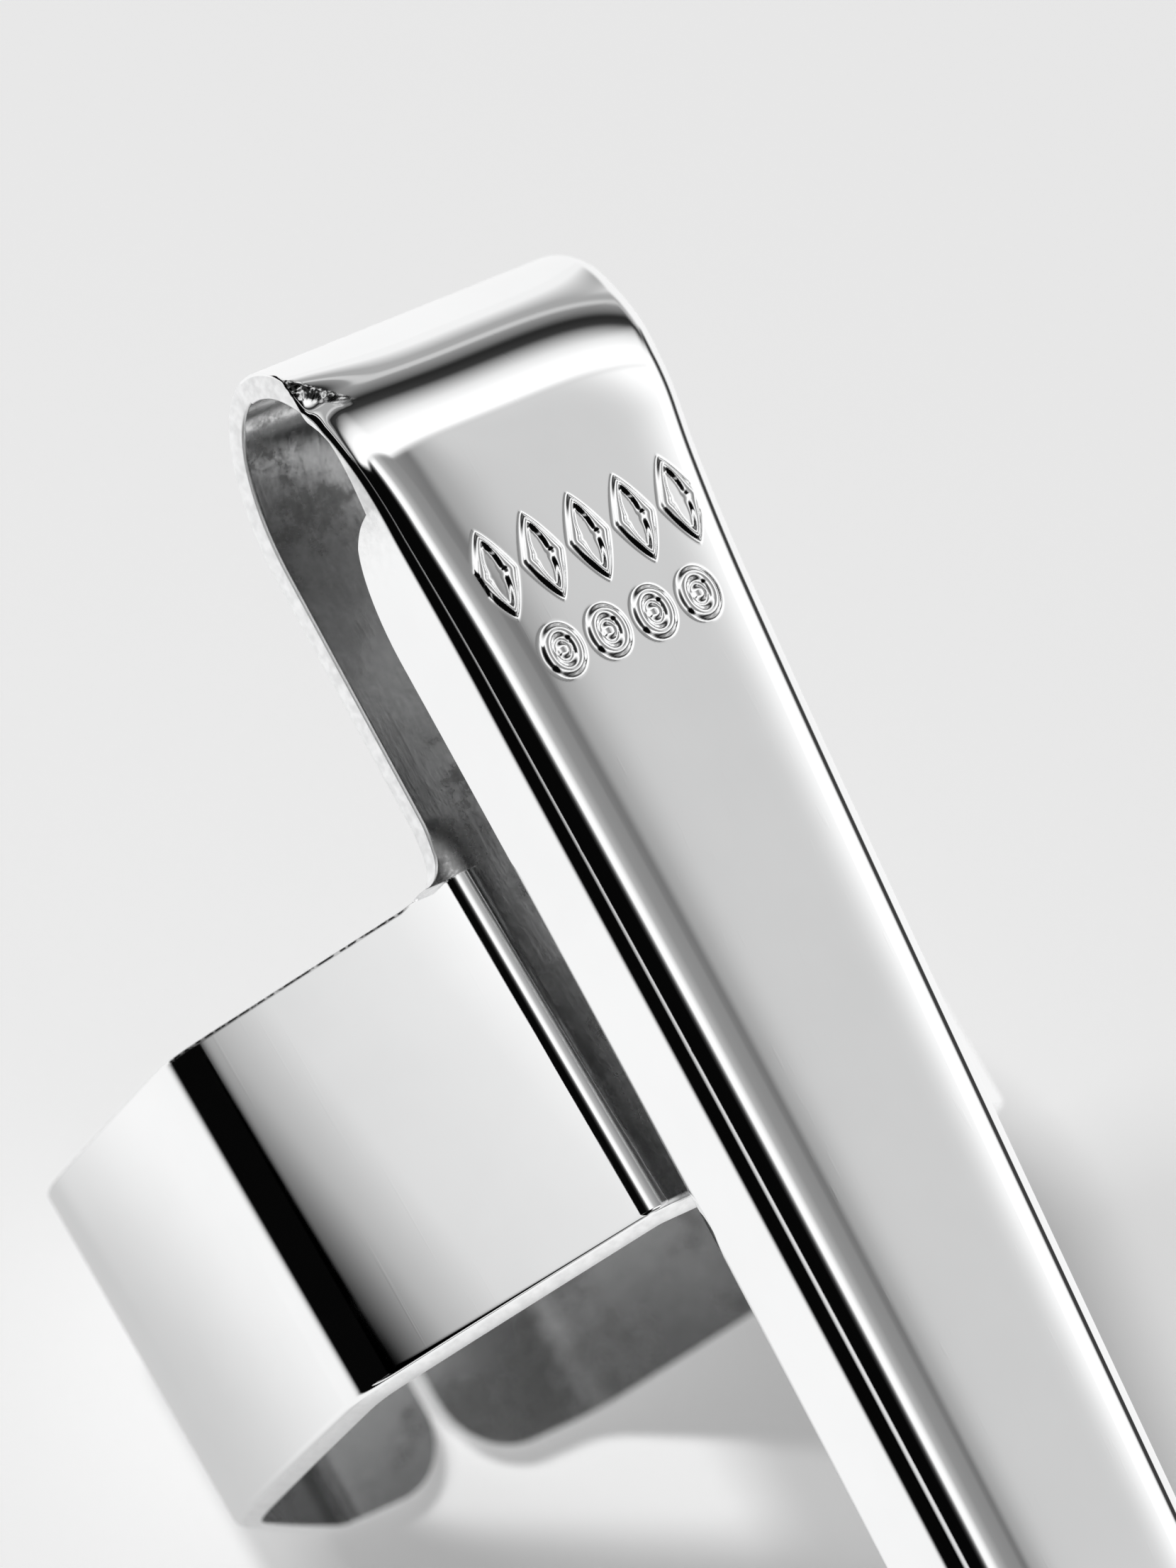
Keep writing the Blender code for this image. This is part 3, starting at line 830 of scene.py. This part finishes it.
def plating():
    """One bright plating, whose shade-and-smudge and cut amounts pick between its three looks.

    Shade-and-smudge from 0 to 1 goes from polished to mottled smudges darkened by painted shade, and
    beyond 1 to painted black.
    """
    material, nodes, shader, _ = new_material("bright_plating")
    shader.inputs["Metallic"].default_value = 1.0
    place = nodes.add("ShaderNodeTexCoord").outputs["Object"]
    shade_and_smudge = nodes.add("ShaderNodeAttribute", attribute_name="shade_and_smudge").outputs["Fac"]
    smudge_shade = nodes.math("MINIMUM", shade_and_smudge, 1.0)
    cut = nodes.add("ShaderNodeAttribute", attribute_name="cut").outputs["Fac"]
    looks = zip(polished(nodes, place), smudged_and_shaded(nodes, place), sheared(nodes, place))
    level, roughness, height = [nodes.between(cut, nodes.between(smudge_shade, bright, smudged_shaded), edge)
                                for bright, smudged_shaded, edge in looks]
    # Painted black in patches where the amount passes 1: shade in the crumpled dents and a dark
    # reflection along the shoulder facets' upper edge.
    patchy = nodes.step(nodes.noise(place, scale=7000.0), 0.62, 0.5)
    painted_black = nodes.math("MULTIPLY", nodes.step(shade_and_smudge, 1.1, 1.7), patchy)
    level = nodes.math("MULTIPLY", level, nodes.math("MULTIPLY_ADD", painted_black, -PAINTED_BLACK_DEPTH, 1.0))
    colour = nodes.add("ShaderNodeCombineColor")
    for socket, tint in zip(colour.inputs, PLATING_TINT):
        nodes.join(nodes.math("MULTIPLY", level, tint), socket)
    nodes.join(colour.outputs[0], shader.inputs["Base Color"])
    nodes.join(roughness, shader.inputs["Roughness"])
    nodes.join(nodes.bump(height, BUMP_STRENGTH, BUMP_DEPTH * MM), shader.inputs["Normal"])
    return material


# Studio -----------------------------------------------------------------------------------------

BACKGROUND = 0.783           # pale backdrop and floor as the camera sees them
GLOW = 0.27                  # part of the floor's brightness that no shadow takes away
AMBIENT = 0.12               # light that reaches the floor from all round
BLACK = 0.002                # brightness of the black cards in reflections
FLOOR_COLOUR = 0.8
FLOOR_HALF = 2000.0          # half the floor's width
FLOOR_GAP = 0.02             # left between the floor and the clip
FLAG_EDGE = (-34.0, -20.0)   # reflections of the floor turn from black to white between these X
FLOOR_SHADOW_REACH = (9.5, 14.0)     # and carry a painted shadow, darker nearer to the clip's middle than the first of these,
FLOOR_SHADOW_LEVEL = (0.62, 0.96)   # with this brightness there and beyond the second
CARD_HEIGHT = 18.3           # a white card hangs level with the arm, to the left
CARD_X = (-23.6, -9.0)       # its far and near sides
CARD_HALF = 60.0             # half its length
CARD_SLANT = 0.33            # its dark far side is nearer by this much per millimetre towards -Y,
CARD_SLANT_Y = 11.0          # counted from here
CARD_GRAZING = 0.3           # it fades out for rays that meet it flatter than this
CARD_SHADES = (
    # share of the width from the far side, brightness
    (0, 0.0), (0.08, 0.2), (0.17, 0.47), (0.26, 0.61), (0.34, 0.74), (0.55, 0.8),
    (0.7, 0.84), (0.8, 0.94), (0.9, 1.08), (1, 1.12),
)
SIDE_LIGHTS = (
    # degrees from straight up towards the left, brightness reflected by the plating
    (-180, 1.0), (-92, 1.0), (-89, 0.04), (-78, 0.05), (-74, 0.9), (-70, 1.1), (-44, 1.1),
    (-41, 0.95), (-38.5, 0.76), (-36, 0.63), (-34, 0.64), (-32, 0.6), (-30, 0.45), (-28, 0.37),
    (-26.8, 0.18), (-25, 0.22), (-22, 0.26), (-13, 0.27), (-2, 0.29), (5, 0.38), (13, 0.5),
    (18, 0.85), (22, 1.05), (29, 1.05), (31, 0.35), (34.5, 0.04), (40, BLACK), (80, BLACK),
)
END_LIGHTS = (
    # degrees from straight up towards the loop's end, brightness
    (0, 0.57), (27.2, 0.57), (30, 1.1), (38, 1.1), (43.3, 0.84), (48, 0.42), (52.5, 0.04),
    (57.5, 0.02), (61, 0.17), (65.3, 0.3), (66.3, 0.58), (68.6, 0.6), (69.6, 0.4), (73.4, 0.4),
    (78.3, 0.66), (83.1, 0.93), (180, 0.93),
)
END_BORDER = (0.3, 0.37)     # the end lights take over where directions run along Y by this much
END_LEAN = (26, 30)          # and are this many degrees from straight up
TIP_BORDER_Y = (-0.4, -0.3)  # black surroundings on the tip's side, between these directions
TIP_BORDER_Z = (0.12, 0.25)
TIP_BORDER_X = (-0.35, -0.2)


def make_world():
    """Surroundings that the plating reflects, as brightness in each direction."""
    world = bpy.data.worlds.new("studio")
    bpy.context.scene.world = world
    world.use_nodes = True
    nodes = Nodes(world.node_tree)
    output = world.node_tree.nodes["Background"]
    direction = nodes.add("ShaderNodeTexCoord").outputs["Generated"]
    split = nodes.add("ShaderNodeSeparateXYZ")
    nodes.join(direction, split.inputs[0])
    x, y, z = split.outputs
    angle = nodes.math("ARCTAN2", nodes.math("MULTIPLY", x, -1.0), z)
    turn = nodes.math("MULTIPLY_ADD", angle, 0.5 / math.pi, 0.5)
    side = nodes.ramp(turn, [((degrees + 180) / 360, level) for degrees, level in SIDE_LIGHTS])
    lean = nodes.math("ARCTAN2", nodes.math("ABSOLUTE", y), z)
    end = nodes.ramp(nodes.math("MULTIPLY", lean, 1 / math.pi),
                     [(degrees / 180, level) for degrees, level in END_LIGHTS])
    toward_end = nodes.math("MULTIPLY", nodes.step(nodes.math("ABSOLUTE", y), *END_BORDER),
                            nodes.step(lean, *[math.radians(degrees) for degrees in END_LEAN]))
    seen = nodes.mix(toward_end, side, end)
    toward_tip = nodes.math("MULTIPLY", nodes.step(y, *TIP_BORDER_Y, 1.0, 0.0),
                            nodes.step(z, *TIP_BORDER_Z))
    toward_tip = nodes.math("MULTIPLY", toward_tip, nodes.step(x, *TIP_BORDER_X, 1.0, 0.0))
    seen = nodes.mix(toward_tip, seen, BLACK)
    rays = nodes.add("ShaderNodeLightPath")
    seen = nodes.mix(rays.outputs["Is Diffuse Ray"], seen, AMBIENT)
    seen = nodes.mix(rays.outputs["Is Camera Ray"], seen, BACKGROUND)
    nodes.join(seen, output.inputs["Color"])


def hang_sheet(name, xs, ys, height, material):
    """A level rectangle that belongs to the studio; its sides are in millimetres."""
    outline = [(xs[0], ys[0]), (xs[1], ys[0]), (xs[1], ys[1]), (xs[0], ys[1])]
    data = bpy.data.meshes.new(name)
    data.from_pydata([(x * MM, y * MM, 0) for x, y in outline], [], [(0, 1, 2, 3)])
    data.materials.append(material)
    sheet = bpy.data.objects.new(name, data)
    sheet.location = (0, 0, height)
    bpy.context.scene.collection.objects.link(sheet)
    return sheet


def make_floor():
    """A pale sweep under the clip; in reflections it is a white card beside a black one, with a painted
    shadow near the clip.
    """
    material, nodes, shader, surface = new_material("pale_floor")
    shader.inputs["Base Color"].default_value = (FLOOR_COLOUR, FLOOR_COLOUR, FLOOR_COLOUR, 1)
    shader.inputs["Roughness"].default_value = 1.0
    shader.inputs["Specular IOR Level"].default_value = 0.0
    card = nodes.add("ShaderNodeEmission")
    place = nodes.add("ShaderNodeNewGeometry").outputs["Position"]
    split = nodes.add("ShaderNodeSeparateXYZ")
    nodes.join(place, split.inputs[0])
    white = nodes.step(split.outputs[0], *[x * MM for x in FLAG_EDGE], BLACK, 1.0)
    away = nodes.add("ShaderNodeVectorMath", operation="LENGTH")
    nodes.join(place, away.inputs[0])
    # Painted shadow of the clip on the floor, seen only in reflections.
    near = nodes.step(away.outputs["Value"], *[radius * MM for radius in FLOOR_SHADOW_REACH], *FLOOR_SHADOW_LEVEL)
    nodes.join(nodes.math("MULTIPLY", white, near), card.inputs["Strength"])
    glow = nodes.add("ShaderNodeEmission")
    glow.inputs["Strength"].default_value = GLOW
    lit = nodes.add("ShaderNodeAddShader")
    nodes.join(shader.outputs[0], lit.inputs[0])
    nodes.join(glow.outputs[0], lit.inputs[1])
    rays = nodes.add("ShaderNodeLightPath")
    blend = nodes.add("ShaderNodeMixShader")
    nodes.join(rays.outputs["Is Glossy Ray"], blend.inputs[0])
    nodes.join(lit.outputs[0], blend.inputs[1])
    nodes.join(card.outputs[0], blend.inputs[2])
    nodes.join(blend.outputs[0], surface)
    sides = (-FLOOR_HALF, FLOOR_HALF)
    hang_sheet("floor", sides, sides, cad_bounds[0][2] - FLOOR_GAP * MM, material)


def make_card():
    """White card seen only in the plating, fading to black on its far side."""
    material, nodes, _, surface = new_material("white_card")
    place = nodes.add("ShaderNodeNewGeometry").outputs["Position"]
    split = nodes.add("ShaderNodeSeparateXYZ")
    nodes.join(place, split.inputs[0])
    slanted = nodes.math("MULTIPLY_ADD", split.outputs[1], CARD_SLANT, split.outputs[0])
    width = (CARD_X[1] - CARD_X[0]) * MM
    far_side = (CARD_X[0] + CARD_SLANT * CARD_SLANT_Y) * MM
    share = nodes.math("MULTIPLY_ADD", slanted, 1 / width, -far_side / width)
    arriving = nodes.add("ShaderNodeSeparateXYZ")
    nodes.join(nodes.add("ShaderNodeNewGeometry").outputs["Incoming"], arriving.inputs[0])
    glow = nodes.add("ShaderNodeEmission")
    nodes.join(nodes.ramp(share, CARD_SHADES), glow.inputs["Color"])
    fading = nodes.step(nodes.math("ABSOLUTE", arriving.outputs[2]), 0.0, CARD_GRAZING)
    nodes.join(fading, glow.inputs["Strength"])
    nodes.join(glow.outputs[0], surface)
    card = hang_sheet("card", CARD_X, (-CARD_HALF, CARD_HALF), CARD_HEIGHT * MM, material)
    for kind in ("camera", "diffuse", "shadow", "transmission", "volume_scatter"):
        setattr(card, "visible_" + kind, False)


KEY_DISTANCE = 3.0           # metres
KEYS = (
    # direction towards the light, its width and height in metres, its share of the light
    ((-0.60, 0.74, 1.0), (0.20, 0.16), 0.68),
    ((-0.90, 0.94, 1.0), (0.60, 0.20), 0.32),
)


def make_key(slope, size, share):
    """Strip light up and to the left behind the clip, for the shadow on the floor."""
    light = bpy.data.lights.new("strip_key", "AREA")
    light.shape = "RECTANGLE"
    light.size, light.size_y = size
    toward = Vector(slope).normalized()
    lit = share * (BACKGROUND - GLOW - FLOOR_COLOUR * AMBIENT)
    light.energy = lit * math.pi ** 2 * KEY_DISTANCE ** 2 / FLOOR_COLOUR / toward.z
    across = Vector((1, 0, 0)) - toward * toward.x
    across.normalize()
    upright = toward.cross(across)
    key = bpy.data.objects.new("strip_key", light)
    key.matrix_world = (Matrix.Translation(toward * KEY_DISTANCE)
                        @ Matrix((across, upright, toward)).transposed().to_4x4())
    key.visible_glossy = False
    bpy.context.scene.collection.objects.link(key)


VIEW_AZIMUTH = -160.9        # from +X, of the direction from the clip to the camera
VIEW_ELEVATION = 54.7
VIEW_ROLL = 43.84
VIEW_DISTANCE = 235.2
AIM = (1.78, 5.68, 11.52)
SENSOR = 36.0
FOCAL_LENGTH = 434.0
F_STOP = 120.0
FOCUS_POINT = (0.0, 6.5, 17.5)         # on the arm's face


def make_camera():
    """The photo's camera; its focus stays on the clip when it is moved."""
    azimuth = math.radians(VIEW_AZIMUTH)
    elevation = math.radians(VIEW_ELEVATION)
    back = Vector((math.cos(elevation) * math.cos(azimuth), math.cos(elevation) * math.sin(azimuth),
                   math.sin(elevation)))
    level = Vector((0, 0, 1)).cross(back).normalized()
    upright = back.cross(level)
    right = level * math.cos(math.radians(VIEW_ROLL)) + upright * math.sin(math.radians(VIEW_ROLL))
    up = back.cross(right)
    data = bpy.data.cameras.new("camera")
    data.sensor_fit = "HORIZONTAL"
    data.sensor_width = SENSOR
    data.lens = FOCAL_LENGTH
    data.clip_start = 0.01
    data.clip_end = 10.0
    camera = bpy.data.objects.new("camera", data)
    place = (Vector(AIM) + back * VIEW_DISTANCE) * MM
    camera.matrix_world = Matrix.Translation(place) @ Matrix((right, up, back)).transposed().to_4x4()
    data.dof.use_dof = True
    data.dof.aperture_fstop = F_STOP
    focus = bpy.data.objects.new("focus_point", None)
    focus.location = point(*FOCUS_POINT)
    bpy.context.scene.collection.objects.link(focus)
    data.dof.focus_object = focus
    bpy.context.scene.collection.objects.link(camera)
    bpy.context.scene.camera = camera


# Assembly ---------------------------------------------------------------------------------------


def main():
    material = plating()
    arm = make_arm(material)
    neck = make_neck(material)
    front, left_wing, right_wing = make_band(material)

    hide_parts("arm_face", "left_flange", "right_flange", "arm_tip")
    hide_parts("neck", "spring_loop")
    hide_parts("front_facet")
    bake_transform(arm)
    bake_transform(neck)
    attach(front, "band_front")
    for side, hand, wing in ((-1, "left", left_wing), (1, "right", right_wing)):
        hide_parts(*[hand + "_" + part for part in
                            ("shoulder_facet", "side_facet", "lower_facet", "free_end")])
        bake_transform(wing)

    make_world()
    make_floor()
    make_card()
    for slope, size, share in KEYS:
        make_key(slope, size, share)
    make_camera()
    bpy.context.scene.view_settings.view_transform = "Standard"


main()
